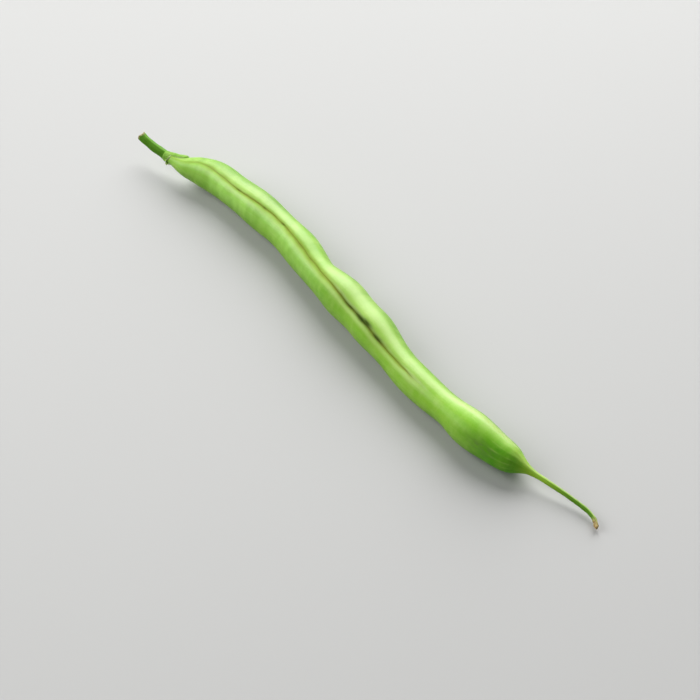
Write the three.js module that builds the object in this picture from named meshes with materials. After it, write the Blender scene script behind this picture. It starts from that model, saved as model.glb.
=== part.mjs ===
// A fresh green bean as picked, lying on a surface: the pod with its beak, the calyx and the stalk.
// Millimetres, +Z up. +X runs from the stem end to the tip of the beak.
import * as THREE from 'three';

// Driving dimensions of the pod, in millimetres along its centreline from the stem end.
const SHOULDER_AT = 132.6; // where the pod has dropped half way to the beak
const SHOULDER_SOFTNESS = 1.4;
const NECK_HALF_WIDTH = 1.3; // at the stem end, inside the calyx
const NECK_REACH = 8; // how far the neck takes to widen
const NECK_POWER = 1.8;
const SLIM_HALF_WIDTH = 4.3; // between seeds, at the stem end
const SLIM_LOSS = 0.0046; // the pod slims by this much for each millimetre of length
const BEAK_HALF_WIDTH = 0.68; // at the foot of the beak
const BEAK_TIP_HALF_WIDTH = 0.5;
const HEIGHT_RATIO = 1.12; // from suture to suture, against the width across the flanks

// Each seed swells the pod: where along the centreline, and by how much on each side.
const SEEDS = [[15, 0.1], [31, 0.5], [48.5, 0.6], [67.5, 1.1], [79.5, 0.95], [98, 0.3], [118.5, 0.9]];
const SEED_REACH = 6.5;

// The centreline seen from above: a gentle S, then the beak.
const PLAN = [
  [-0.5, 0.1], [4.4, 1.2], [8.4, 3.6], [12.8, 5.3], [20, 5.8], [32, 5.9], [45, 5], [56, 2.8], [68, 1.8],
  [80, 0.4], [92, -1.7], [103, -2.4], [114, -2.5], [123, -1.9], [130, -0.8], [136.5, 0.6], [141, 1.7],
  [146, 2.7], [149, 3], [151.5, 2.6], [153.7, 1.2],
];

// The pod rests on its seed swellings, pressed a little flat there; both ends hang clear.
const PRESS = 0.2;
const NECK_HEIGHT = 5.5;
const BEAK_FOOT_HEIGHT = 4; // of the centreline, at the shoulder
const BEAK_TIP_HEIGHT = 1.2;

// The upper suture leans from straight up towards -Y: where along the centreline, and degrees.
const LEAN = [[0, 25], [9, 12], [22, 25], [39, 12], [58, 19], [84, 33], [96, 28], [130, 38], [158, 20]];

// The calyx: a thin cup round the neck with five teeth, one longer than the rest.
const GAP = 0.3; // between neighbouring pieces
const CALYX_THICKNESS = 0.4;
const CALYX_FLOOR = 0.8; // thickness of the cup's closed end
const CALYX_CUP = 1.2; // depth of the cup below the teeth
const TOOTH_LENGTH = 1.3;
const LONG_TOOTH_EXTRA = 3;
const LONG_TOOTH_ANGLE = 54; // degrees from the upper suture towards +Y
const TEETH = 5;
const TOOTH_POINT = 2; // a higher power gives narrower teeth
const LONG_TOOTH_ONLY = 6; // a higher power leaves the neighbouring teeth short
const TOOTH_CURL = 0.35; // how far a tooth's tip stands off the pod

// The stalk: a tapered stem that rises from the calyx to its snapped end.
const STALK_HALF_WIDTH = 1.3; // at the calyx
const STALK_END_HALF_WIDTH = 1.1;
const STALK_RISE = [[-4.5, -0.8, 6.2], [-7.3, -1.3, 6.9], [-9.6, -1.6, 7.6]];

// Mesh resolution.
const POD_SIDES = 24;
const POD_RINGS = 104;
const CALYX_SIDES = 40;
const CALYX_ROWS = 6;
const STALK_SIDES = 14;
const STALK_RINGS = 10;

const UP = new THREE.Vector3(0, 0, 1);

// Value at s of knots [where, value], eased from each knot to the next.
function eased(knots, s) {
  let value = knots[0][1];
  for (let i = 1; i < knots.length; i += 1) {
    const [from, low] = knots[i - 1];
    const [to, high] = knots[i];
    if (s > from) value = low + (high - low) * THREE.MathUtils.smoothstep(s, from, to);
  }
  return value;
}

const plan = new THREE.CatmullRomCurve3(PLAN.map(([x, y]) => new THREE.Vector3(x, y, 0)));
plan.arcLengthDivisions = 2000;
const LENGTH = plan.getLength();

// Half the pod's width across the flanks.
function halfWidth(s) {
  let body = SLIM_HALF_WIDTH - SLIM_LOSS * s;
  for (const [at, swell] of SEEDS) body += swell * Math.exp(-(((s - at) / SEED_REACH) ** 2));
  const neck = 1 - Math.exp(-((Math.max(s, 0) / NECK_REACH) ** NECK_POWER));
  const pod = NECK_HALF_WIDTH + (body - NECK_HALF_WIDTH) * neck;
  const along = THREE.MathUtils.clamp((s - SHOULDER_AT) / (LENGTH - SHOULDER_AT), 0, 1);
  const beak = THREE.MathUtils.lerp(BEAK_HALF_WIDTH, BEAK_TIP_HALF_WIDTH, along);
  return beak + (pod - beak) / (1 + Math.exp((s - SHOULDER_AT) / SHOULDER_SOFTNESS));
}

const leanAt = (s) => THREE.MathUtils.degToRad(eased(LEAN, s));

// How far the leaning oval section reaches below the centreline.
function reachDown(s) {
  const lean = leanAt(s);
  return halfWidth(s) * Math.hypot(HEIGHT_RATIO * Math.cos(lean), Math.sin(lean));
}

const HEIGHTS = [
  [0, NECK_HEIGHT],
  ...SEEDS.map(([at]) => [at, reachDown(at) - PRESS]),
  [SHOULDER_AT, BEAK_FOOT_HEIGHT],
  [LENGTH, BEAK_TIP_HEIGHT],
];

// A point of the centreline; before the stem end it runs straight on.
function centre(s) {
  if (s < 0) return centre(0).addScaledVector(tangent(0), s);
  const point = plan.getPointAt(Math.min(s / LENGTH, 1));
  point.z = eased(HEIGHTS, s);
  return point;
}

function tangent(s) {
  const step = 0.2;
  const inside = THREE.MathUtils.clamp(s, 0, LENGTH);
  const before = centre(Math.max(inside - step, 0));
  return centre(Math.min(inside + step, LENGTH)).sub(before).normalize();
}

// A point on the pod's skin, at an angle from the upper suture, moved out by offset.
function skin(s, angle, offset = 0) {
  const forward = tangent(s);
  const left = UP.clone().cross(forward).normalize();
  const over = forward.clone().cross(left);
  const lean = leanAt(s);
  const suture = over.clone().multiplyScalar(Math.cos(lean)).addScaledVector(left, -Math.sin(lean));
  const flank = left.clone().multiplyScalar(Math.cos(lean)).addScaledVector(over, Math.sin(lean));
  const half = halfWidth(s);
  return centre(s)
    .addScaledVector(suture, Math.cos(angle) * (half * HEIGHT_RATIO + offset))
    .addScaledVector(flank, Math.sin(angle) * (half + offset));
}

// A closed solid through rings of points that all have the same count, with a cap on each end.
function loft(rings) {
  const sides = rings[0].length;
  const points = rings.flat();
  const middle = (ring) => ring.reduce((sum, p) => sum.add(p), new THREE.Vector3()).divideScalar(sides);
  const first = points.push(middle(rings[0])) - 1;
  const last = points.push(middle(rings.at(-1))) - 1;
  const triangles = [];
  for (let side = 0; side < sides; side += 1) {
    const next = (side + 1) % sides;
    triangles.push(first, next, side);
    for (let ring = 0; ring < rings.length - 1; ring += 1) {
      const a = ring * sides + side;
      const b = ring * sides + next;
      triangles.push(a, b, b + sides, a, b + sides, a + sides);
    }
    const end = (rings.length - 1) * sides;
    triangles.push(last, end + side, end + next);
  }
  const geometry = new THREE.BufferGeometry().setFromPoints(points);
  geometry.setIndex(triangles);
  geometry.computeVertexNormals();
  return geometry;
}

// Angles round a ring, in the sense that makes a lofted solid face outwards.
const turns = (sides) => Array.from({ length: sides }, (_, i) => (-2 * Math.PI * i) / sides);

function podGeometry() {
  const rings = [];
  for (let i = 0; i <= POD_RINGS; i += 1) {
    const s = (LENGTH * i) / POD_RINGS;
    const ring = turns(POD_SIDES).map((angle) => skin(s, angle));
    for (const point of ring) point.z = Math.max(point.z, 0);
    rings.push(ring);
  }
  return loft(rings);
}

// How far the calyx reaches along the pod at an angle from the upper suture.
function calyxReach(angle) {
  const turn = angle - THREE.MathUtils.degToRad(LONG_TOOTH_ANGLE);
  const tooth = (0.5 + 0.5 * Math.cos(TEETH * turn)) ** TOOTH_POINT;
  const long = Math.max(Math.cos(turn), 0) ** LONG_TOOTH_ONLY;
  return CALYX_CUP + tooth * (TOOTH_LENGTH + LONG_TOOTH_EXTRA * long);
}

function calyxGeometry() {
  const angles = turns(CALYX_SIDES);
  const row = (part, offset) => angles.map((angle) => {
    const curl = TOOTH_CURL * part ** 3;
    return skin(part * calyxReach(angle), angle, GAP + offset + curl);
  });
  const flat = (s, offset) => angles.map((angle) => skin(s, angle, offset));
  const parts = Array.from({ length: CALYX_ROWS + 1 }, (_, i) => i / CALYX_ROWS);
  return loft([
    flat(-GAP - CALYX_FLOOR, STALK_HALF_WIDTH - NECK_HALF_WIDTH),
    ...parts.map((part) => row(part, CALYX_THICKNESS)),
    ...parts.toReversed().map((part) => row(part, 0)),
    flat(-GAP, GAP / 2),
  ]);
}

function stalkGeometry() {
  const foot = centre(-2 * GAP - CALYX_FLOOR);
  const path = new THREE.CatmullRomCurve3([foot, ...STALK_RISE.map((p) => new THREE.Vector3(...p))]);
  const rings = [];
  for (let i = STALK_RINGS; i >= 0; i -= 1) {
    const along = i / STALK_RINGS;
    const forward = i === 0 ? tangent(0) : path.getTangentAt(along).negate();
    const left = UP.clone().cross(forward).normalize();
    const over = forward.clone().cross(left);
    const radius = THREE.MathUtils.lerp(STALK_HALF_WIDTH, STALK_END_HALF_WIDTH, Math.sqrt(along));
    const point = path.getPointAt(along);
    rings.push(turns(STALK_SIDES).map((angle) => point.clone()
      .addScaledVector(over, Math.cos(angle) * radius)
      .addScaledVector(left, Math.sin(angle) * radius)));
  }
  return loft(rings);
}

function piece(name, geometry, color, roughness) {
  const material = new THREE.MeshStandardMaterial({ color, roughness, metalness: 0 });
  const mesh = new THREE.Mesh(geometry, material);
  mesh.name = name;
  return mesh;
}

const bean = new THREE.Group();
bean.name = 'green_bean';
bean.add(piece('pod', podGeometry(), 0x8cc24a, 0.42));
bean.add(piece('calyx', calyxGeometry(), 0x9ccb63, 0.55));
bean.add(piece('stalk', stalkGeometry(), 0x7fb03c, 0.55));

// The origin is the middle of the bean's footprint, on the surface that it lies on.
const box = new THREE.Box3().setFromObject(bean, true);
const middle = box.getCenter(new THREE.Vector3());
bean.position.set(-middle.x, -middle.y, -box.min.z);

export default bean;
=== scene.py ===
"""A fresh green bean lying on a pale floor: the pod with its beak, the calyx and the stalk.

Shapes are worked out in millimetres along the bean from its stem end, and become metres in the shared
frame when a mesh is made. Angles round the pod are in radians from its upper suture towards +Y, unless
they say otherwise. Knots are pairs of a place and the value there, eased from each to the next."""
import math

import bpy
import numpy as np
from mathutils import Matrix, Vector


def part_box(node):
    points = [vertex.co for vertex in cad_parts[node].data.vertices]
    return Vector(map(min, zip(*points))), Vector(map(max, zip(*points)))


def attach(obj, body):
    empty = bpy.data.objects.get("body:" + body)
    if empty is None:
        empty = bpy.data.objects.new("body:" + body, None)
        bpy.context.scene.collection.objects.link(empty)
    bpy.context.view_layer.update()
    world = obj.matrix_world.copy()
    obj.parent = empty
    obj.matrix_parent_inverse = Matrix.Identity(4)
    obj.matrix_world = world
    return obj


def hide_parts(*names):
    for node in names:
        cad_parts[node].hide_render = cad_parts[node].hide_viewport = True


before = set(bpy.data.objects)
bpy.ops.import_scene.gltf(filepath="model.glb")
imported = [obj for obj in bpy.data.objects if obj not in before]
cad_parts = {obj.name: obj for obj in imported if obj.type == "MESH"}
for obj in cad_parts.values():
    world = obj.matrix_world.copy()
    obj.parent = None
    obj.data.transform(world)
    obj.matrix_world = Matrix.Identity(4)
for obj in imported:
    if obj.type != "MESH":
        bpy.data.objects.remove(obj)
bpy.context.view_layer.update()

MM = 0.001

# The pod, in millimetres along its centreline from the stem end
SHOULDER_AT = 132.6  # where the pod has dropped half way to the beak
SHOULDER_SOFTNESS = 1.4
NECK_HALF_WIDTH = 1.3  # at the stem end, inside the calyx
NECK_REACH = 8.0  # how far the neck takes to widen
NECK_POWER = 1.8
SLIM_HALF_WIDTH = 4.3  # between seeds, at the stem end
SLIM_LOSS = 0.0046  # the pod slims by this much for each millimetre of length
BEAK_HALF_WIDTH = 0.68  # at the foot of the beak
BEAK_TIP_HALF_WIDTH = 0.5
HEIGHT_RATIO = 1.12  # from suture to suture, against the width across the flanks
NECK_HEIGHT = 5.5  # of the centreline, at the stem end
BEAK_FOOT_HEIGHT = 4.0  # of the centreline, at the shoulder
BEAK_TIP_HEIGHT = 1.2
PRESS = 0.2  # how flat the seeds' swellings are pressed on the surface
TANGENT_STEP = 0.2  # how far to either side the centreline's direction is taken

# Each seed swells the pod: where, and by how much on each side
SEEDS = [(15, 0.1), (31, 0.5), (48.5, 0.6), (67.5, 1.1), (79.5, 0.95), (98, 0.3), (118.5, 0.9)]
SEED_REACH = 6.5

# The centreline seen from above: a gentle S, then the beak
PLAN = [
    (-0.5, 0.1), (4.4, 1.2), (8.4, 3.6), (12.8, 5.3), (20, 5.8), (32, 5.9), (45, 5), (56, 2.8), (68, 1.8),
    (80, 0.4), (92, -1.7), (103, -2.4), (114, -2.5), (123, -1.9), (130, -0.8), (136.5, 0.6), (141, 1.7),
    (146, 2.7), (149, 3), (151.5, 2.6), (153.7, 1.2),
]

# Degrees that the upper suture leans from straight up towards -Y
LEAN = [(0, 25), (9, 12), (22, 25), (39, 12), (58, 19), (84, 33), (96, 28), (130, 38), (158, 20)]

# The upper suture along the pod: how deep its valley is, how brown and how wide its line is, and how far
# that strays to the side
SUTURE_VALLEY = [(4, 0), (14, 0.5), (30, 0.9), (60, 1), (84, 1.1), (98, 0.8), (109, 0.15), (140, 0)]
SUTURE_BROWN = [
    (4, 0.2), (10, 0.6), (20, 0.75), (30, 1), (60, 0.85), (72, 1), (88, 0.95), (96, 0.9), (101, 0.15),
    (105, 0),
]
SUTURE_WIDENED = [(36, 1), (50, 1.6), (60, 1.6), (68, 1)]
SUTURE_DRIFT = [
    (3, 0.05), (9, 0.1), (14, -0.15), (20, 0.2), (27, -0.1), (47, -0.2), (52, 0.1), (57, 0.2),
    (64.5, -0.4), (69, -0.4), (76, -0.2), (90, 0), (100, 0.2),
]
SUTURE_REACH = 0.5
SEAM_REACH = 0.14
VALLEY_DEPTH = 0.11
GROOVE_DEPTH = 0.05
SEAM_DEPTH = 0.05

# Strips beside the upper suture: how far aside of its line, and reach
VALLEY_STRIP = (-0.1, 0.85)
# A painted highlight on the near shoulder of the valley
LIP_HIGHLIGHT_STRIP = (-1.1, 0.7)
SHADE_STRIP = (0.6, 0.6)
SHADE_STRENGTH = [(60, 0.2), (72, 1), (86, 1), (96, 0.2), (110, 0)]

# The lower suture, a fine seam on a low ridge
RIDGE_HEIGHT = 0.07
RIDGE_REACH = 0.5
LOWER_SEAM_DEPTH = 0.1

# Marks beside the suture: where along, how far aside, length, width and strength
BLOTS = [
    (25, 0, 0.8, 0.25, 0.5), (34.2, 0.05, 0.6, 0.25, 0.5), (41.6, 0, 0.8, 0.3, 0.55),
    (73.5, 0.1, 3.5, 0.4, 0.7), (78.4, 0.15, 3.9, 0.65, 1.0), (80.2, 0.4, 2, 0.85, 0.9),
    (84.9, 0.2, 1.9, 0.5, 0.85),
]
# A patch of painted highlight where the suture's line ends
HIGHLIGHT_PATCH = (99, 0.2, 6, 1.3, 1.2)

# Spots round the pod: where along, at which angle, length, spread in radians, and strength or depth
BRUISE = (124.5, -0.35, 4.0, 0.4, 1.0)
PINCHES = [(58, 1.35, 2.6, 0.6, 0.25), (110.5, -1.35, 3.2, 0.6, 0.28)]

# Pleats where the pod runs into the beak, and the painted highlights in fine lines on their crests
PLEATS = 15
PLEATS_REACH = 5.0
PLEATS_BEFORE = 1.0  # how far before the shoulder they are deepest
PLEAT_DEPTH = 0.05
PLEAT_STRENGTH = 0.5  # on average, as they fade in and out
PLEAT_LINES_BEFORE = 2.5  # how far before the shoulder they are palest
PLEAT_LINE_STRENGTH = 0.6  # on average, as they break up
PLEAT_LINE_POWER = 3  # a higher power gives finer lines

# The beak, with places on its tip counted from the very end
# The furrow is cut into the beak and painted with shade; its ridge carries a painted highlight
FURROW = (0.1, 0.5)  # its angle and spread
BEAK_HIGHLIGHT_STRIP = (0.9, 0.5)  # its angle and spread
FURROW_DEPTH = 0.14
UNDER_FURROW_DEPTH = 0.07
UNDER_FURROW_REACH = 0.4
DRY_TIP = [(-4, 0), (-1, 1)]
DRY_SWELL = 0.04
TIP_CLOSING = [(-0.9, 0), (0, 0.75)]  # share of the half width that is lost

# Where the pod's colours lie, as knots along it unless angles are named
# A painted highlight in a band along the top: how strong, at which angle, and how wide
HIGHLIGHT_BAND_STRENGTH = [
    (6, 0.3), (18, 1), (40, 1), (54, 0.6), (66, 1), (104, 1), (116, 1.7), (127, 1.7), (133, 0),
]
HIGHLIGHT_BAND_ANGLE = [(12, -0.3), (40, 0.06), (98, 0.06), (117, 0.45), (126, 0.58)]  # measured from straight up
HIGHLIGHT_BAND_SPREAD = [(50, 0.46), (62, 0.62), (74, 0.62), (86, 0.46), (98, 0.46), (118, 0.26)]
# A painted highlight on the near flank towards the stem end
NECK_HIGHLIGHT_STRENGTH = [(3, 0.5), (12, 1.4), (30, 1.3), (55, 0.9), (66, 0)]
NECK_HIGHLIGHT_STRIP = (-0.48, 0.52)  # its angle and spread
# Painted shade on the far side, and where the near side turns under
FAR_SIDE = [(0.5, 0), (1.1, 1)]  # at angles from straight up
# How much nearer to the top the far side starts, as an angle
FAR_SIDE_NEARER = [(28, 0.9), (44, 0.12), (60, 0.12), (70, 0.3), (88, 0.3), (96, 0.1)]
NEAR_SIDE = [(-2.2, 1), (-1.7, 0.5), (-1.2, 0)]  # at angles from straight up
# Painted shade on the blossom end, darkest on its lower flank
BLOSSOM_SHADE_ALONG = [(113.5, 0), (128.5, 1)]
BLOSSOM_SHADE_ROUND = [(0.15, 1), (1, 0)]  # at angles from the suture
BEAK_ALONG = [(131.5, 0), (136, 1)]
FAR_BEAK_ALONG = [(138, 0), (149, 1)]

# The calyx, a thin toothed cup with one side that flares out
CALYX_CUP = 0.9  # from the stem end to the notches between the teeth
CALYX_FLOOR = 1.1  # how far the cup reaches before the stem end
CALYX_THICKNESS = 0.16
CALYX_HALF_WIDTH = 2.0  # nominal, for its patterns
LONG_TOOTH_ANGLE = 54  # degrees
TEETH = [(4.8, 0.8), (1.0, 0.1), (0.8, 0.1), (0.3, 0.0), (0.15, 0.0)]  # length and flesh, longest first
TOOTH_POINT = 0.25  # a lower power gives blunter teeth
TOOTH_SLANT = 0.4  # how much thicker one side of a tooth is
TOOTH_TIP = 12  # a higher power keeps a tooth thick nearer its tip
MIDRIB_SPREAD = 0.12
MIDRIB_HEIGHT = 0.08
FLARE = 0.35
FLARE_ANGLE = -95  # degrees
FLARE_POWER = 4  # a higher power gives a narrower flare
FLARE_SHORTER = 0.95
FLARE_THICKER = 2.2  # this and the next two are shares of the thickness, at the rim
NOTCH_THICKER = 0.4
RIM_THINNER = 0.8
RIM_POWER = 3  # a higher power gives a narrower pale rim
RIM_HIDDEN = 3  # how much of it a fleshy tooth loses

# The stalk, from inside the calyx to its snapped end
STALK_HALF_WIDTH = 1.3
STALK_END_HALF_WIDTH = 1.1
STALK_RISE = [(-4.5, -0.8, 6.2), (-7.3, -1.3, 6.9), (-9.6, -1.6, 7.6)]
STALK_SINK = 0.5  # how far before the stem end its foot lies, inside the calyx
STALK_RIBS = 7
RIB_HEIGHT = 0.03
RIB_TWIST = 0.1  # radians to a millimetre
SNAP_SWELL = 0.12
SNAP_SWELL_REACH = 1.2
SNAP_RAGGED_REACH = 1.0
SNAP_PALE = (0.9, 0.5)  # strength and reach
SNAP_INSET = (0.92, 0.12)  # first and last ring of the torn end, as shares of its width
SNAP_DISH = 0.3
# Painted shade along one side of the stalk
STALK_SHADED_SIDE = [(-0.4, 0), (0.3, 1)]  # by the sine of the angle round it

# Unevenness: how strong it is, the length of its waves, and its seed
SUTURE_STRAY = (0.12, 17, 3)
SUTURE_JITTER = (0.05, 5, 4)
GROOVE_RAGGED = (0.2, 6, 5)
SKIN_WAVE = (0.035, 9, 11)
SKIN_RIPPLE = (0.004, 1.6, 12)
RIPPLE_STRETCH = (1, 0.3, 0.3)  # draws the ripples out round the pod
PLEAT_FADING = (0.5, 6, 13)
PLEAT_WANDER = (0.8, 12, 14)
PLEAT_LINE_BREAKS = (0.5, 3, 15)
DRY_EDGE = (0.8, 2.5, 21)
BEAK_WAVE = (0.03, 2.2, 22)
DRY_CRUMPLE = (0.1, 1.1, 23)
CALYX_EDGE = (0.06, 0.5, 31)
CALYX_GRAIN = (0.03, 0.35, 32)
STALK_WAVE = (0.04, 2.4, 41)
SNAP_RAGGED = (0.3, 1.2, 42)
SNAP_FIBRES = (0.25, 0.6, 43)
WAVE_RANGE = (0.7, 1.5)  # shortest and longest wave, as shares of that length

# Mesh resolution, as rows along and columns round
POD_GRID = (640, 144)
SUTURE_CROWDING = 0.4  # how far the pod's columns crowd together at both sutures
CALYX_GRID = (22, 200)
CALYX_FOOT_ROWS = 7
STALK_GRID = (90, 84)
SNAP_ROWS = 10
FITTING_GRID = (400, 48)  # for the plain pod that is fitted to the CAD pod's box

# Colours of the plant, as linear light
GREEN = (0.28, 0.59, 0.03)
DEEP_GREEN = (0.19, 0.46, 0.018)
SIDE_SHADE_GREEN = (0.13, 0.31, 0.02)
PALE_GREEN = (0.42, 0.66, 0.12)
# The colour of the painted highlights
HIGHLIGHT_GREEN = (0.46, 0.66, 0.14)
NECK_HIGHLIGHT_GREEN = (0.4, 0.78, 0.1)
SHADE_GREEN = (0.09, 0.36, 0.004)
SUTURE_OLIVE = (0.23, 0.25, 0.035)
SEAM_BROWN = (0.1, 0.085, 0.012)
BLOT_DARK = (0.012, 0.03, 0.002)
BRUISE_GREEN = (0.14, 0.25, 0.05)
BEAK_GREEN = (0.36, 0.56, 0.04)
BEAK_DARK = (0.06, 0.2, 0.003)
DRY_TAN = (0.55, 0.42, 0.18)
DRY_BROWN = (0.14, 0.075, 0.025)
LEAF_GREEN = (0.15, 0.34, 0.03)
LEAF_PALE = (0.26, 0.46, 0.08)
LEAF_RIM = (0.66, 0.78, 0.4)
STALK_GREEN = (0.1, 0.28, 0.012)
STALK_PALE = (0.22, 0.45, 0.05)
TORN_PALE = (0.55, 0.5, 0.27)

# The surfaces: light that goes under the skin, wax on the pod, ranges of roughness, and heights of bumps
PLANT_GLOW = {
    "Specular_IOR_Level": 0.12,
    "Subsurface_Weight": 0.25,
    "Subsurface_Radius": (0.6, 1.0, 0.25),
    "Subsurface_Scale": 1.2 * MM,
}
WAX = {"Coat_Roughness": 0.38, "Coat_IOR": 1.48}
SKIN_ROUGHNESS = (0.45, 0.55)
SCAB_ROUGHNESS = 0.9
LEAF_ROUGHNESS = (0.48, 0.65)
STALK_ROUGHNESS = (0.45, 0.6)
TORN_ROUGHNESS = 0.85
GRAIN_BUMP = 0.03 * MM
FIBRE_BUMP = 0.05 * MM
LEAF_BUMP = 0.06 * MM
STALK_BUMP = 0.06 * MM

# The stage, in metres
FLOOR_HALF_WIDTH = 3.0
FLOOR_DROP = 0.02 * MM
FLOOR_GREY = (0.5, 0.5, 0.49)
FLOOR_PALE = (0.52, 0.52, 0.51)
FLOOR_ROUGHNESS = (0.6, 0.7)
ROOM_COLOUR = (0.98, 0.99, 1.0, 1)
ROOM_STRENGTH = 0.15

# The camera looks at the bean as the photograph does
VIEW_AZIMUTH = 48.43
VIEW_ELEVATION = 50.0
VIEW_DISTANCE = 0.6
VIEW_AIM = (0.0065, -0.0094, 0.005)
VIEW_LENS = 128.06
VIEW_CLIP = 0.01

# Lamps: degrees round from the camera, elevation, distance, width and power
LAMPS = {
    "key_lamp": (168, 36, 0.9, 1.1, 14.0),
    "side_lamp": (260, 35, 0.9, 0.7, 5.4),
}


# Curves and smooth variation

def eased(knots, s):
    """Value at s of (where, value) knots, eased from each knot to the next."""
    value = np.full(np.shape(s), float(knots[0][1]))
    for (start, low), (end, high) in zip(knots, knots[1:]):
        t = np.clip((s - start) / (end - start), 0, 1)
        value = value + (high - low) * t * t * (3 - 2 * t)
    return value


def hump(x, middle, reach):
    """A smooth hill of height 1."""
    return np.exp(-(((x - middle) / reach) ** 2))


def uneven(places, strength, length, seed, count=24):
    """Smooth random variation of about this strength either way, over waves of about this length."""
    rng = np.random.default_rng(seed)
    way = rng.normal(size=(count, places.shape[-1]))
    way /= np.linalg.norm(way, axis=1, keepdims=True)
    pitch = 2 * math.pi / (length * rng.uniform(*WAVE_RANGE, count))
    phase = rng.uniform(0, 2 * math.pi, count)
    total = np.zeros(places.shape[:-1])
    for k in range(count):
        total += np.sin(places @ (way[k] * pitch[k]) + phase[k])
    return strength * (total / math.sqrt(count))


def smooth_line(points, per_span=60):
    """A dense line on a centripetal Catmull-Rom curve through the points."""
    p = np.array(points, float)
    p = np.vstack([2 * p[0] - p[1], p, 2 * p[-1] - p[-2]])
    knot = np.sqrt(np.linalg.norm(np.diff(p, axis=0), axis=1))
    t = np.linspace(0, 1, per_span, endpoint=False)[:, None]
    spans = []
    for i in range(1, len(p) - 2):
        a, b, c = knot[i - 1:i + 2]
        step = p[i + 1] - p[i]
        out = ((p[i] - p[i - 1]) / a - (p[i + 1] - p[i - 1]) / (a + b) + step / b) * b
        into = (step / b - (p[i + 2] - p[i]) / (b + c) + (p[i + 2] - p[i + 1]) / c) * b
        spans.append(p[i] + out * t + (3 * step - 2 * out - into) * t**2 + (out + into - 2 * step) * t**3)
    return np.vstack([*spans, p[-2:-1]])


def run_of(line):
    """Distance along a dense line at each of its points."""
    return np.concatenate([[0], np.cumsum(np.linalg.norm(np.diff(line, axis=0), axis=1))])


def unit(vectors):
    """The vectors' directions, with length 1."""
    return vectors / np.linalg.norm(vectors, axis=-1, keepdims=True)


def sideways(forward):
    """The level direction to the left of forward, and the one over it."""
    left = unit(np.cross([0.0, 0.0, 1.0], forward))
    return left, np.cross(forward, left)


def ring_angles(columns):
    """Evenly spaced angles all the way round."""
    return np.linspace(-math.pi, math.pi, columns, endpoint=False)


# The pod's centreline and skin

PLAN_LINE = smooth_line(PLAN)
PLAN_RUN = run_of(PLAN_LINE)
LENGTH = PLAN_RUN[-1]


def pod_share(s):
    """1 on the pod, falling to 0 on the beak."""
    return 1 / (1 + np.exp((s - SHOULDER_AT) / SHOULDER_SOFTNESS))


def half_width(s):
    """Half the width across the flanks."""
    body = SLIM_HALF_WIDTH - SLIM_LOSS * s
    for at, swell in SEEDS:
        body = body + swell * hump(s, at, SEED_REACH)
    neck = 1 - np.exp(-((np.maximum(s, 0) / NECK_REACH) ** NECK_POWER))
    pod = NECK_HALF_WIDTH + (body - NECK_HALF_WIDTH) * neck
    along = np.clip((s - SHOULDER_AT) / (LENGTH - SHOULDER_AT), 0, 1)
    beak = BEAK_HALF_WIDTH + (BEAK_TIP_HALF_WIDTH - BEAK_HALF_WIDTH) * along
    return beak + (pod - beak) * pod_share(s)


def reach_down(s):
    """How far the leaning oval section reaches below the centreline."""
    lean = np.radians(eased(LEAN, s))
    return half_width(s) * np.hypot(HEIGHT_RATIO * np.cos(lean), np.sin(lean))


HEIGHTS = [
    (0, NECK_HEIGHT),
    *((at, float(reach_down(np.array(at))) - PRESS) for at, swell in SEEDS),
    (SHOULDER_AT, BEAK_FOOT_HEIGHT),
    (LENGTH, BEAK_TIP_HEIGHT),
]


def centreline(s):
    """Points of the centreline, which runs straight on before the stem end, and its directions there."""
    def point(at):
        x = np.interp(at, PLAN_RUN, PLAN_LINE[:, 0])
        y = np.interp(at, PLAN_RUN, PLAN_LINE[:, 1])
        return np.stack([x, y, eased(HEIGHTS, at)], axis=-1)

    inside = np.clip(s, 0, LENGTH)
    before = point(np.maximum(inside - TANGENT_STEP, 0))
    forward = unit(point(np.minimum(inside + TANGENT_STEP, LENGTH)) - before)
    return point(inside) + forward * (s - inside)[..., None], forward


def skin(s, angle, offset):
    """Points of the pod's skin at an angle from the upper suture, moved out by offset."""
    middle, forward = centreline(s)
    left, over = sideways(forward)
    lean = np.radians(eased(LEAN, s))[..., None]
    suture = over * np.cos(lean) - left * np.sin(lean)
    flank = left * np.cos(lean) + over * np.sin(lean)
    half = half_width(s)
    up = np.cos(angle) * (half * HEIGHT_RATIO + offset)
    out = np.sin(angle) * (half + offset)
    return middle + suture * up[..., None] + flank * out[..., None]


# Meshes

def frame_shift():
    """From the stem end to the shared frame, by the middle of the pod's box."""
    low, high = (np.array(corner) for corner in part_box("pod"))
    rows, columns = FITTING_GRID
    s, angle = np.meshgrid(np.linspace(0, LENGTH, rows), ring_angles(columns), indexing="ij")
    points = skin(s, angle, np.zeros_like(s)) * MM
    middle = (points.min(axis=(0, 1)) + points.max(axis=(0, 1))) / 2
    shift = (low + high) / 2 - middle
    shift[2] = 0  # both stand on the surface at height 0
    return shift


SHIFT = frame_shift()


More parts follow.
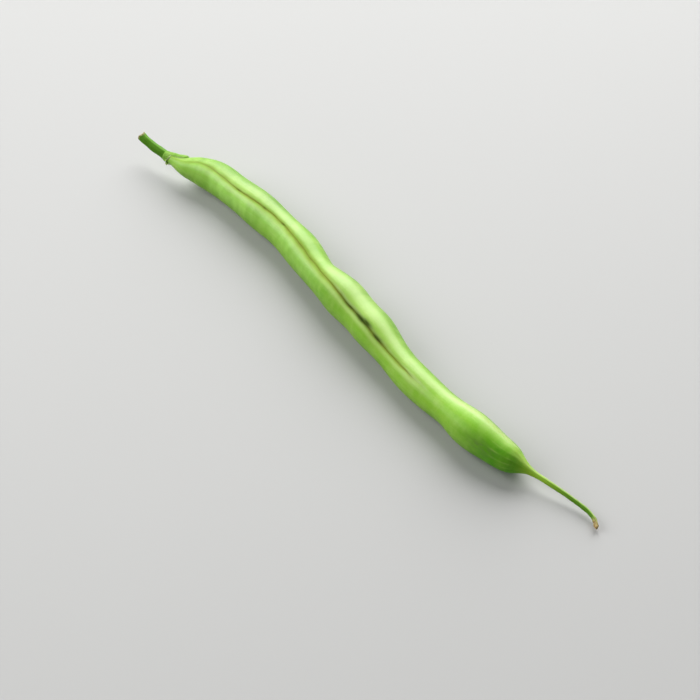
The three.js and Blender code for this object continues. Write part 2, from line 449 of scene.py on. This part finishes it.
def tube_object(name, points, fields):
    """A closed smooth mesh from rows of points round a tube, with point fields for its material."""
    rows, columns = points.shape[:2]
    ends = [points[0].mean(axis=0), points[-1].mean(axis=0)]
    places = np.vstack([points.reshape(-1, 3), ends]) * MM + SHIFT
    first, last, end_row = rows * columns, rows * columns + 1, (rows - 1) * columns
    faces = []
    for column in range(columns):
        after = (column + 1) % columns
        faces.append((first, column, after))
        for a, b in zip(range(column, end_row, columns), range(after, end_row, columns)):
            faces.append((a, a + columns, b + columns, b))
        faces.append((last, end_row + after, end_row + column))
    mesh = bpy.data.meshes.new(name)
    mesh.from_pydata(places.tolist(), [], faces)
    mesh.shade_smooth()
    for field, values in fields.items():
        flat = values.reshape(rows * columns, -1)
        flat = np.vstack([flat, flat[:columns].mean(axis=0), flat[-columns:].mean(axis=0)])
        kind, member = ("FLOAT_VECTOR", "vector") if flat.shape[1] == 3 else ("FLOAT", "value")
        layer = mesh.attributes.new(field, kind, "POINT")
        layer.data.foreach_set(member, flat.astype(np.float32).ravel())
    piece = bpy.data.objects.new(name, mesh)
    bpy.context.scene.collection.objects.link(piece)
    return piece


# The pod

class PodGrid:
    """Places on the pod's skin: a row for each place along it, a column for each angle round it."""

    def __init__(self):
        rows, columns = POD_GRID
        turn = ring_angles(columns)
        crowded = turn - SUTURE_CROWDING * np.sin(2 * turn)
        self.s, self.angle = np.meshgrid(np.linspace(0, LENGTH, rows), crowded, indexing="ij")
        self.line = self.s[..., None]
        self.half = half_width(self.s)
        flank = self.half * np.sin(self.angle)
        height = self.half * HEIGHT_RATIO * np.cos(self.angle)
        self.unbent = np.stack([self.s, flank, height], axis=-1)
        self.turned = self.angle - np.radians(eased(LEAN, self.s))  # from straight up
        self.pod = pod_share(self.s)
        self.beak = 1 - self.pod

        # Distances round the skin, from the upper suture's line and from the lower suture
        girth = self.half * (1 + HEIGHT_RATIO) / 2
        self.across = self.angle * girth - eased(SUTURE_DRIFT, self.s)
        for stray in (SUTURE_STRAY, SUTURE_JITTER):
            self.across -= uneven(self.line, *stray)
        self.below = (math.pi - np.abs(self.angle)) * girth

        # Features that show both in the relief and in the colours
        ragged = 1 + uneven(self.line, *GROOVE_RAGGED)
        self.groove = hump(self.across, 0, SUTURE_REACH * eased(SUTURE_WIDENED, self.s) * ragged)
        self.seam = hump(self.across, 0, SEAM_REACH)
        self.pleating = np.cos(PLEATS * self.angle + uneven(self.line, *PLEAT_WANDER))
        self.furrow = hump(self.angle, *FURROW)
        self.dry = eased(DRY_TIP, self.s - LENGTH + uneven(self.unbent, *DRY_EDGE))

    def mark(self, at, aside, length, width, strength):
        """A soft spot, so far aside of the upper suture's line."""
        return strength * hump(self.s, at, length) * hump(self.across, aside, width)

    def spot(self, at, angle, length, spread, strength):
        """A soft spot at an angle."""
        return strength * hump(self.s, at, length) * hump(self.angle, angle, spread)


def suture_relief(grid):
    """The upper suture lies in a valley, the lower one on a low ridge."""
    valley = VALLEY_DEPTH * hump(grid.across, *VALLEY_STRIP)
    valley += GROOVE_DEPTH * grid.groove + SEAM_DEPTH * grid.seam
    ridge = RIDGE_HEIGHT * hump(grid.below, 0, RIDGE_REACH)
    ridge -= LOWER_SEAM_DEPTH * hump(grid.below, 0, SEAM_REACH)
    return grid.pod * ridge - eased(SUTURE_VALLEY, grid.s) * valley


def flank_relief(grid):
    """Gentle unevenness, pinched places, and pleats that run together at the beak."""
    relief = uneven(grid.unbent, *SKIN_WAVE) + uneven(grid.unbent * RIPPLE_STRETCH, *SKIN_RIPPLE)
    relief *= grid.pod
    for pinch in PINCHES:
        relief -= grid.spot(*pinch)
    pleats = hump(grid.s, SHOULDER_AT - PLEATS_BEFORE, PLEATS_REACH)
    pleats *= PLEAT_STRENGTH + uneven(grid.unbent, *PLEAT_FADING)
    return relief + PLEAT_DEPTH * pleats * grid.pleating


def beak_relief(grid):
    """The beak is furrowed along its length, and its tip is dry and closes in."""
    furrows = FURROW_DEPTH * grid.furrow + UNDER_FURROW_DEPTH * hump(grid.below, 0, UNDER_FURROW_REACH)
    relief = grid.beak * (uneven(grid.unbent, *BEAK_WAVE) - furrows)
    relief += grid.dry * (uneven(grid.unbent, *DRY_CRUMPLE) + DRY_SWELL)
    return relief - grid.half * eased(TIP_CLOSING, grid.s - LENGTH)


def highlight_band_and_patch(grid):
    """A painted highlight: a paler band along the top of the pod, and a pale patch where the suture's
    line ends.
    """
    band = eased(HIGHLIGHT_BAND_STRENGTH, grid.s)
    band *= hump(grid.turned, eased(HIGHLIGHT_BAND_ANGLE, grid.s), eased(HIGHLIGHT_BAND_SPREAD, grid.s))
    return np.maximum(band, grid.mark(*HIGHLIGHT_PATCH))


def shaded_sides(grid):
    """Painted shade: deeper green on the far side, and on the near side where it turns under."""
    far_side = eased(FAR_SIDE, grid.turned + eased(FAR_SIDE_NEARER, grid.s))
    return grid.pod * (far_side + eased(NEAR_SIDE, grid.turned))


def pleat_highlight_lines(grid):
    """Painted highlights in fine broken lines on the pleats' crests."""
    lines = hump(grid.s, SHOULDER_AT - PLEAT_LINES_BEFORE, PLEATS_REACH)
    lines *= np.maximum(grid.pleating, 0) ** PLEAT_LINE_POWER
    return lines * (PLEAT_LINE_STRENGTH + uneven(grid.unbent, *PLEAT_LINE_BREAKS))


def pod_fields(grid):
    """What the pod's material follows: places on the unbent pod, and where each colour lies."""
    return {
        "unbent": grid.unbent,
        "suture": grid.groove * eased(SUTURE_BROWN, grid.s),
        "seam": grid.seam * eased(SUTURE_BROWN, grid.s),
        "shade": hump(grid.across, *SHADE_STRIP) * eased(SHADE_STRENGTH, grid.s),
        "lip_highlight": hump(grid.across, *LIP_HIGHLIGHT_STRIP) * eased(SUTURE_VALLEY, grid.s),
        "blot": np.max([grid.mark(*blot) for blot in BLOTS], axis=0),
        "bruise": grid.spot(*BRUISE),
        "painted_highlight": highlight_band_and_patch(grid),
        "neck": eased(NECK_HIGHLIGHT_STRENGTH, grid.s) * hump(grid.angle, *NECK_HIGHLIGHT_STRIP),
        "pleat_highlight": pleat_highlight_lines(grid),
        "deep": shaded_sides(grid),
        "blossom_shade": eased(BLOSSOM_SHADE_ALONG, grid.s) * eased(BLOSSOM_SHADE_ROUND, grid.angle),
        "beak": eased(BEAK_ALONG, grid.s),
        "furrow": grid.beak * grid.furrow,
        "ridge": grid.beak * hump(grid.angle, *BEAK_HIGHLIGHT_STRIP),
        "far": eased(FAR_BEAK_ALONG, grid.s),
        "dry": grid.dry,
    }


def make_pod():
    grid = PodGrid()
    points = skin(grid.s, grid.angle, suture_relief(grid) + flank_relief(grid) + beak_relief(grid))
    points[..., 2] = np.maximum(points[..., 2], 0)  # pressed flat on the surface
    return tube_object("bean_pod", points, pod_fields(grid))


# The calyx

def teeth_at(from_longest):
    """How much of a tooth stands at each angle, from 0 to 1, and that tooth's length and flesh."""
    count = len(TEETH)
    turn = from_longest * count / (2 * math.pi)
    nearest = np.round(turn)
    length, flesh = np.array(TEETH)[nearest.astype(int) % count].T
    return (0.5 + 0.5 * np.cos(2 * math.pi * (turn - nearest))) ** TOOTH_POINT, length, flesh


def make_calyx():
    rows, columns = CALYX_GRID
    angle = ring_angles(columns)
    around = np.stack([np.cos(angle), np.sin(angle)], axis=-1)
    from_longest = angle - math.radians(LONG_TOOTH_ANGLE)
    tooth, length, flesh = teeth_at(from_longest)
    flared = (0.5 + 0.5 * np.cos(angle - math.radians(FLARE_ANGLE))) ** FLARE_POWER
    reach = CALYX_CUP + tooth * length - FLARE_SHORTER * flared + uneven(around, *CALYX_EDGE)
    midrib = hump(tooth, 1, MIDRIB_SPREAD)
    plump = flesh * tooth**2 * (1 - TOOTH_SLANT + TOOTH_SLANT * np.sin(2 * from_longest))

    # The wall, from the cup's foot to the tips of its teeth
    part = np.linspace(0, 1, rows)[:, None]
    places = np.stack(np.broadcast_arrays(*around.T, part), axis=-1)
    at_rim = FLARE_THICKER * flared + NOTCH_THICKER * (1 - tooth) - RIM_THINNER
    thickness = CALYX_THICKNESS * (1 + part**2 * at_rim)
    raised = plump * np.sqrt(part) + MIDRIB_HEIGHT * midrib + uneven(places, *CALYX_GRAIN)
    thickness += raised * (1 - part**TOOTH_TIP)
    inside = FLARE * flared * part
    rim = part**RIM_POWER * (1 - RIM_HIDDEN * plump)
    vein = midrib * (1 - part)

    def cup(foot, outer, inner):
        """Rows over the rounded foot, up the outer wall and back down the inner one."""
        return np.vstack([np.broadcast_to(foot, (CALYX_FOOT_ROWS, columns)), outer, inner[::-1]])

    turn = np.linspace(0, math.pi / 2, CALYX_FOOT_ROWS, endpoint=False)[:, None]
    at_stalk = STALK_HALF_WIDTH - NECK_HALF_WIDTH
    swell = at_stalk + (CALYX_THICKNESS - at_stalk) * np.sin(turn)
    s = cup(-CALYX_FLOOR * np.cos(turn), reach * part, reach * part)
    points = skin(s, np.broadcast_to(angle, s.shape), cup(swell, inside + thickness, inside))
    return tube_object("bean_calyx", points, {
        "unbent": np.stack(np.broadcast_arrays(s, *(CALYX_HALF_WIDTH * around.T)), axis=-1),
        "rim": cup(0, rim, rim),
        "vein": cup(0, vein, vein),
    })


# The stalk

def make_stalk():
    rows, columns = STALK_GRID
    foot, _ = centreline(np.array(-STALK_SINK))
    path = smooth_line([foot, *STALK_RISE])
    run = run_of(path)
    end = run[-1]
    distance, angle = np.meshgrid(np.linspace(0, end, rows), ring_angles(columns), indexing="ij")
    middle = np.stack([np.interp(distance, run, path[:, axis]) for axis in range(3)], axis=-1)
    forward = unit(np.gradient(middle, axis=0))
    left, over = sideways(forward)
    unbent = np.stack([distance, np.cos(angle), np.sin(angle)], axis=-1)
    radius = STALK_HALF_WIDTH + (STALK_END_HALF_WIDTH - STALK_HALF_WIDTH) * np.sqrt(distance / end)
    radius += RIB_HEIGHT * np.cos(STALK_RIBS * angle + RIB_TWIST * distance) + uneven(unbent, *STALK_WAVE)
    radius += SNAP_SWELL * hump(distance, end, SNAP_SWELL_REACH)
    ragged = uneven(unbent[..., 1:], *SNAP_RAGGED) * hump(distance, end, SNAP_RAGGED_REACH)
    out = over * np.cos(angle)[..., None] + left * np.sin(angle)[..., None]
    wall = middle + out * radius[..., None] + forward * ragged[..., None]

    # The snapped end: rings that close in over torn fibres
    inset = np.linspace(*SNAP_INSET, SNAP_ROWS)[:, None, None]
    deep = 1 - inset[..., 0]
    torn = middle[-1:] + (wall[-1:] - middle[-1:]) * inset
    fibres = uneven(torn, *SNAP_FIBRES) - SNAP_DISH * deep
    torn += forward[-1:] * (fibres * np.sqrt(deep))[..., None]
    torn_places = unbent[-1:] * [1, 0, 0] + unbent[-1:] * [0, 1, 1] * inset
    paleness, reach = SNAP_PALE
    return tube_object("bean_stalk", np.concatenate([wall, torn]), {
        "unbent": np.concatenate([unbent, torn_places]),
        "snapped": np.concatenate([paleness * hump(distance, end, reach), np.ones(torn.shape[:2])]),
        "stalk_shade": np.concatenate([eased(STALK_SHADED_SIDE, np.sin(angle)), np.zeros(torn.shape[:2])]),
    })


# Materials

class Paint:
    """A material in the making: pattern nodes that feed its surface."""

    def __init__(self, name):
        self.material = bpy.data.materials.new(name)
        self.material.use_nodes = True
        self.tree = self.material.node_tree
        self.surface = self.tree.nodes["Principled BSDF"]

    def add(self, kind, inputs, **settings):
        """A node with its settings, and its inputs set or linked."""
        node = self.tree.nodes.new(kind)
        for name, value in settings.items():
            setattr(node, name, value)
        self.fill(node, inputs)
        return node

    def fill(self, node, inputs):
        """Links each input that is given a socket, and sets the others."""
        for name, value in inputs.items():
            if isinstance(value, bpy.types.NodeSocket):
                self.tree.links.new(value, node.inputs[name])
            else:
                node.inputs[name].default_value = value

    def field(self, name, output="Fac"):
        """A field of the mesh."""
        return self.add("ShaderNodeAttribute", {}, attribute_name=name).outputs[output]

    def noise(self, place, fineness, detail=3.0, roughness=0.5):
        """Noise with this many waves to a unit of place, along each axis."""
        scaled = self.add("ShaderNodeMapping", {"Vector": place, "Scale": fineness}).outputs[0]
        inputs = {"Vector": scaled, "Scale": 1.0, "Detail": detail, "Roughness": roughness}
        return self.add("ShaderNodeTexNoise", inputs).outputs[0]

    def remap(self, value, span, ends=(0, 1)):
        """A value that runs over a span, made to run between two ends and no further."""
        inputs = {"Value": value, "From Min": span[0], "From Max": span[1]}
        inputs.update({"To Min": ends[0], "To Max": ends[1]})
        return self.add("ShaderNodeMapRange", inputs).outputs[0]

    def times(self, first, second):
        return self.add("ShaderNodeMath", {0: first, 1: second}, operation="MULTIPLY").outputs[0]

    def larger(self, first, second):
        return self.add("ShaderNodeMath", {0: first, 1: second}, operation="MAXIMUM").outputs[0]

    # A mix node has sockets for every kind of value under the same names, so they go by number

    def mix(self, share, first, second):
        """Number first, turned into number second by share."""
        return self.add("ShaderNodeMix", {0: share, 2: first, 3: second}, data_type="FLOAT").outputs[0]

    def blend(self, share, first, second):
        """Colour first, turned into colour second by share."""
        first, second = ((*c, 1) if isinstance(c, tuple) else c for c in (first, second))
        return self.add("ShaderNodeMix", {0: share, 6: first, 7: second}, data_type="RGBA").outputs[2]

    def layer(self, under, colour, field=None, share=1.0, pattern=None, span=(0, 1), shares=(0, 1)):
        """A colour laid over another, by one share or by shares that follow a pattern, and by a field."""
        if pattern is not None:
            share = self.remap(pattern, span, shares)
        if field is not None:
            share = self.times(self.field(field), share)
        return self.blend(share, under, colour)

    def bump(self, height, distance, under=None):
        inputs = {"Height": height, "Distance": distance}
        if under is not None:
            inputs["Normal"] = under
        return self.add("ShaderNodeBump", inputs).outputs[0]

    def finish(self, **inputs):
        """Feeds the surface; a name's underscores stand for spaces."""
        self.fill(self.surface, {name.replace("_", " "): value for name, value in inputs.items()})
        return self.material


def skin_colour(paint, broad, mottle, streak, fibre, grain, patchy):
    """The greens of the pod, from the bottom layer up."""
    colour = paint.layer(GREEN, DEEP_GREEN, pattern=broad, span=(0.35, 0.68))
    # Painted shade on the far side and the underside
    colour = paint.layer(colour, SIDE_SHADE_GREEN, field="deep", share=0.7)
    colour = paint.layer(colour, PALE_GREEN, pattern=mottle, span=(0.45, 0.75), shares=(0, 0.4))
    colour = paint.layer(colour, PALE_GREEN, pattern=streak, span=(0.5, 0.72), shares=(0, 0.35))
    colour = paint.layer(colour, PALE_GREEN, pattern=fibre, span=(0.5, 0.75), shares=(0, 0.2))
    colour = paint.layer(colour, DEEP_GREEN, pattern=grain, span=(0.45, 0.75), shares=(0, 0.2))
    # Painted highlight in a band along the top
    colour = paint.layer(colour, HIGHLIGHT_GREEN, field="painted_highlight", share=0.5)
    # Painted highlight on the near flank by the neck
    colour = paint.layer(
        colour, NECK_HIGHLIGHT_GREEN, field="neck", pattern=streak, span=(0.36, 0.64), shares=(0.35, 0.7))
    # Painted highlight on the near shoulder of the suture's valley
    colour = paint.layer(colour, HIGHLIGHT_GREEN, field="lip_highlight", share=0.55)
    # Painted shade over the blossom end
    colour = paint.layer(
        colour, SHADE_GREEN, field="blossom_shade", pattern=mottle, span=(0.35, 0.65), shares=(1, 0.65))
    colour = paint.layer(
        colour, BRUISE_GREEN, field="bruise", pattern=patchy, span=(0.38, 0.58), shares=(0.05, 0.75))
    # Painted highlight on the pleat crests
    return paint.layer(colour, HIGHLIGHT_GREEN, field="pleat_highlight", share=0.3)


def beak_colour(paint, colour):
    """The beak darkens along its length, with a painted highlight on its ridge beside painted shade in
    its furrow.
    """
    colour = paint.layer(colour, BEAK_GREEN, field="beak", share=0.75)
    colour = paint.layer(colour, BEAK_DARK, field="far", share=0.8)
    # Painted highlight along the beak's ridge
    colour = paint.layer(colour, HIGHLIGHT_GREEN, field="ridge", share=0.85)
    # Painted shade in the beak's furrow
    return paint.layer(colour, BEAK_DARK, field="furrow", pattern=paint.field("far"), shares=(0.15, 0.7))


def suture_colour(paint, colour, patchy):
    """The suture's olive line with its brown seam, and the dark blots on it."""
    colour = paint.layer(colour, SUTURE_OLIVE, field="shade", share=0.3)
    colour = paint.layer(
        colour, SUTURE_OLIVE, field="suture", pattern=patchy, span=(0.3, 0.6), shares=(0.55, 0.85))
    colour = paint.layer(colour, SEAM_BROWN, field="seam", share=0.32)
    blot = paint.times(paint.field("blot"), paint.remap(patchy, span=(0.25, 0.6), ends=(0.75, 1.05)))
    return paint.layer(colour, BLOT_DARK, pattern=blot, shares=(0, 0.97))


def pod_material():
    paint = Paint("pod_skin")
    place = paint.field("unbent", "Vector")
    broad = paint.noise(place, (0.05, 0.12, 0.12), detail=2.0)
    mottle = paint.noise(place, (0.3, 0.18, 0.18), detail=4.0, roughness=0.6)
    streak = paint.noise(place, (0.42, 0.2, 0.2), roughness=0.4)
    fibre = paint.noise(place, (0.04, 2.2, 2.2))
    grain = paint.noise(place, (3.2, 3.2, 3.2), detail=2.0)
    patchy = paint.noise(place, (0.35, 1.2, 1.2), detail=4.0, roughness=0.65)
    scab = paint.noise(place, (1.1, 1.6, 1.6), detail=4.0, roughness=0.6)

    colour = skin_colour(paint, broad, mottle, streak, fibre, grain, patchy)
    colour = beak_colour(paint, colour)
    colour = suture_colour(paint, colour, patchy)
    dry = paint.field("dry")
    colour = paint.blend(dry, colour, paint.layer(DRY_TAN, DRY_BROWN, pattern=scab, span=(0.48, 0.62)))

    # The suture, blots and dry tip are rough and bare of wax, which lies thickest under the painted
    # highlights of the top band and the neck
    scabby = paint.larger(paint.larger(paint.field("suture"), paint.field("blot")), dry)
    gloss = paint.mix(scabby, paint.remap(mottle, span=(0.3, 0.7), ends=SKIN_ROUGHNESS), SCAB_ROUGHNESS)
    waxy = paint.remap(paint.larger(paint.field("painted_highlight"), paint.field("neck")), span=(0, 1), ends=(0.3, 1))
    wax = paint.times(paint.remap(scabby, span=(0.1, 0.8), ends=(1, 0)), waxy)
    # The coat thins under the painted shade of the blossom end
    wax = paint.times(wax, paint.remap(paint.field("blossom_shade"), span=(0, 1), ends=(1, 0.2)))
    normal = paint.bump(fibre, FIBRE_BUMP, under=paint.bump(grain, GRAIN_BUMP))
    return paint.finish(
        Base_Color=colour, Roughness=gloss, Normal=normal, Coat_Weight=wax, **WAX, **PLANT_GLOW)


def calyx_material():
    paint = Paint("calyx_leaf")
    place = paint.field("unbent", "Vector")
    cloud = paint.noise(place, (0.8, 0.7, 0.7), detail=4.0)
    rough = paint.noise(place, (1.2, 1.5, 1.5), detail=4.0)
    colour = paint.layer(LEAF_GREEN, LEAF_PALE, pattern=cloud, span=(0.35, 0.65))
    colour = paint.layer(colour, LEAF_PALE, field="vein", share=0.5)
    colour = paint.layer(colour, LEAF_RIM, pattern=paint.field("rim"), span=(0.3, 0.9), shares=(0, 0.8))
    gloss = paint.remap(cloud, span=(0.3, 0.7), ends=LEAF_ROUGHNESS)
    return paint.finish(
        Base_Color=colour, Roughness=gloss, Normal=paint.bump(rough, LEAF_BUMP), **PLANT_GLOW)


def stalk_material():
    paint = Paint("stalk_bark")
    place = paint.field("unbent", "Vector")
    streak = paint.noise(place, (0.12, 2.4, 2.4), detail=4.0)
    speck = paint.noise(place, (2.4, 5.0, 5.0), detail=2.0)
    fibre = paint.noise(place, (1.5, 6.0, 6.0), detail=4.0)
    colour = paint.layer(STALK_GREEN, STALK_PALE, pattern=streak, span=(0.35, 0.65))
    colour = paint.layer(colour, SUTURE_OLIVE, pattern=speck, span=(0.62, 0.7), shares=(0, 0.5))
    # Painted shade along one side of the stalk
    colour = paint.layer(colour, BEAK_DARK, field="stalk_shade", share=0.8)
    snapped = paint.field("snapped")
    torn = paint.layer(TORN_PALE, DRY_BROWN, pattern=fibre, span=(0.4, 0.62))
    colour = paint.layer(colour, torn, pattern=snapped, span=(0.3, 0.8))
    gloss = paint.mix(snapped, paint.remap(streak, span=(0.3, 0.7), ends=STALK_ROUGHNESS), TORN_ROUGHNESS)
    return paint.finish(
        Base_Color=colour, Roughness=gloss, Normal=paint.bump(streak, STALK_BUMP), **PLANT_GLOW)


def floor_material():
    paint = Paint("pale_floor")
    place = paint.add("ShaderNodeTexCoord", {}).outputs["Object"]
    cloud = paint.noise(place, (6.0, 6.0, 6.0))
    colour = paint.layer(FLOOR_GREY, FLOOR_PALE, pattern=cloud, span=(0.3, 0.7))
    gloss = paint.remap(cloud, span=(0.3, 0.7), ends=FLOOR_ROUGHNESS)
    return paint.finish(Base_Color=colour, Roughness=gloss)


# The stage

def make_floor():
    size = FLOOR_HALF_WIDTH
    corners = [(-size, -size, 0), (size, -size, 0), (size, size, 0), (-size, size, 0)]
    mesh = bpy.data.meshes.new("floor")
    mesh.from_pydata(corners, [], [(0, 1, 2, 3)])
    mesh.materials.append(floor_material())
    floor = bpy.data.objects.new("floor", mesh)
    floor.location.z = -FLOOR_DROP
    bpy.context.scene.collection.objects.link(floor)


def aim_from(thing, azimuth, elevation, distance):
    """Places a camera or lamp round the aim point, and turns it there."""
    a, e = math.radians(azimuth), math.radians(elevation)
    away = Vector((math.sin(a) * math.cos(e), -math.cos(a) * math.cos(e), math.sin(e)))
    thing.location = Vector(VIEW_AIM) + distance * away
    thing.rotation_euler = away.to_track_quat("Z", "Y").to_euler()
    bpy.context.scene.collection.objects.link(thing)


def make_lights():
    for name, (turn, elevation, distance, width, power) in LAMPS.items():
        lamp = bpy.data.lights.new(name, "AREA")
        lamp.shape = "DISK"
        lamp.size = width
        lamp.energy = power
        aim_from(bpy.data.objects.new(name, lamp), VIEW_AZIMUTH + turn, elevation, distance)
    world = bpy.data.worlds.new("soft_room")
    bpy.context.scene.world = world
    world.use_nodes = True
    background = world.node_tree.nodes["Background"]
    background.inputs["Color"].default_value = ROOM_COLOUR
    background.inputs["Strength"].default_value = ROOM_STRENGTH


def make_camera():
    lens = bpy.data.cameras.new("camera")
    lens.lens = VIEW_LENS
    lens.clip_start = VIEW_CLIP
    camera = bpy.data.objects.new("camera", lens)
    aim_from(camera, VIEW_AZIMUTH, VIEW_ELEVATION, VIEW_DISTANCE)
    bpy.context.scene.camera = camera


def place_piece(piece, node, material):
    """Puts a piece in the place of its CAD node."""
    piece.data.materials.append(material)
    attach(piece, "root")
    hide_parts(node)


make_camera()
make_floor()
make_lights()
place_piece(make_pod(), "pod", pod_material())
place_piece(make_calyx(), "calyx", calyx_material())
place_piece(make_stalk(), "stalk", stalk_material())
bpy.context.scene.view_settings.view_transform = "Standard"
